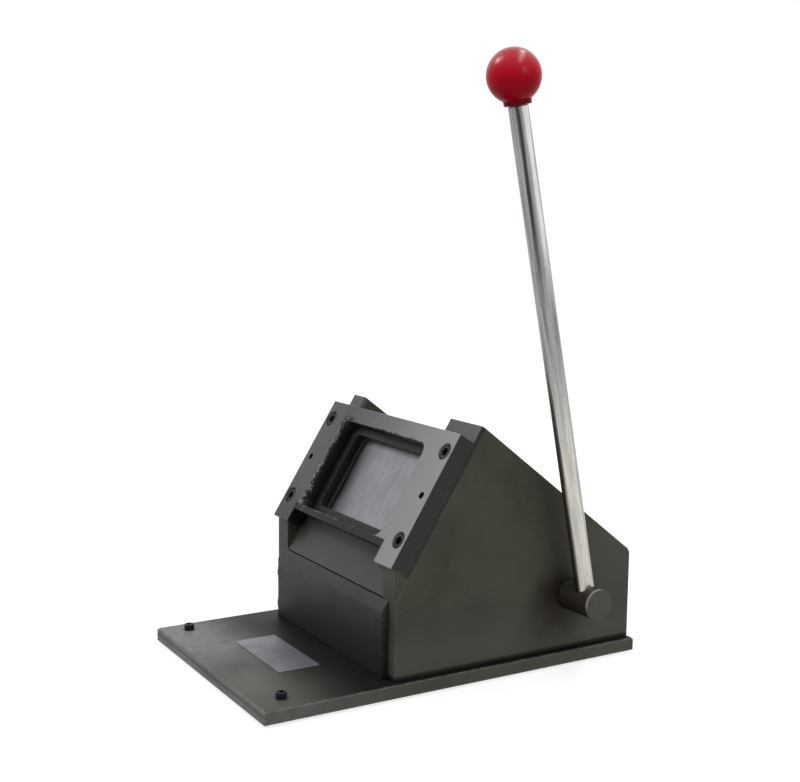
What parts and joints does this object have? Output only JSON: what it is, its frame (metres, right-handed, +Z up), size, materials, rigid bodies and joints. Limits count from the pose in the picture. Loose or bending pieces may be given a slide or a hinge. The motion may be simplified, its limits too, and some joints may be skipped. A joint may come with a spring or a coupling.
{
  "type": "lever-operated card punch press",
  "caption": "Desk hand press: pulling the side lever forward turns a cam that drives a punch through a sloped die plate and cuts a card blank from a plastic sheet.",
  "frame": {"origin": "middle of the underside, on the table", "axes": "+X to the operator's right, +Y away from the operator, +Z up"},
  "size_m": [0.198, 0.269, 0.3827],
  "materials": {
    "mat": "matt black rubber",
    "base_paint": "dark olive grey semi-gloss paint, worn bright along the edges",
    "side_paint": "dark olive grey semi-gloss paint",
    "die_paint": "mid grey satin paint over ground steel, oily and worn at the window",
    "black_oxide": "black oxide on steel",
    "label_metal": "bare satin aluminium",
    "tool_steel": "ground hardened steel",
    "die_steel": "blackened hardened steel",
    "machined_steel": "machined steel",
    "bronze": "sintered bronze",
    "spring_steel": "drawn wire",
    "lever_chrome": "zinc-plated drawn bar, faintly streaked",
    "ball_red": "glossy red phenolic"
  },
  "bodies": {
    "frame": {"base_mat": "mat", "base_plate": "base_paint", "bench_screws": "black_oxide", "label_plate": "label_metal", "left_side_plate": "side_paint", "right_side_plate": "side_paint", "under_base_screws": "black_oxide", "front_panel": "die_paint", "front_panel_screws": "die_paint", "upper_tie_bar": "side_paint", "rear_tie_bar": "side_paint", "rear_cover": "side_paint", "cover_screws": "black_oxide", "die_plate": "die_paint", "die_ring": "die_steel", "left_guide_bar": "die_paint", "right_guide_bar": "die_paint", "punch_guide_plate": "die_paint", "die_cap_screws": "black_oxide", "die_dowels": "machined_steel", "guide_posts": "machined_steel", "post_washers": "machined_steel", "post_nuts": "machined_steel", "return_springs": "spring_steel", "left_shaft_bush": "bronze", "right_shaft_bush": "bronze"},
    "ram": {"punch": "tool_steel", "ram_plate": "machined_steel", "ram_bushes": "bronze", "punch_screws": "black_oxide", "ram_fork": "machined_steel", "fork_screws": "black_oxide", "roller_pin": "machined_steel", "pin_clips": "black_oxide"},
    "roller": {"cam_roller": "tool_steel"},
    "lever": {"cross_shaft": "side_paint", "cam": "tool_steel", "cam_key": "machined_steel", "cam_set_screw": "black_oxide", "shaft_collars": "machined_steel", "collar_screws": "black_oxide", "lever_rod": "lever_chrome", "knob_insert": "machined_steel", "ball_knob": "ball_red"}
  },
  "joints": [
    {"name": "lever_pull", "type": "hinge", "parent": "frame", "child": "lever", "pos_m": [0, 0.0847, 0.0456], "axis": [1, 0, 0], "range_deg": [0, 75], "stiffness_Nm_per_rad": 0.4, "springref_deg": -74.48},
    {"name": "ram_stroke", "type": "slide", "parent": "frame", "child": "ram", "axis": [0, -0.849, 0.5284], "range_m": [0, 0.00551], "deforming": ["return_springs"]},
    {"name": "roller_spin", "type": "hinge", "parent": "ram", "child": "roller", "pos_m": [0, 0.05991, 0.06103], "axis": [1, 0, 0], "continuous": true}
  ],
  "couplings": [
    {"joint": "ram_stroke", "follows": "lever_pull", "m_per_rad": 0.0042017}
  ]
}
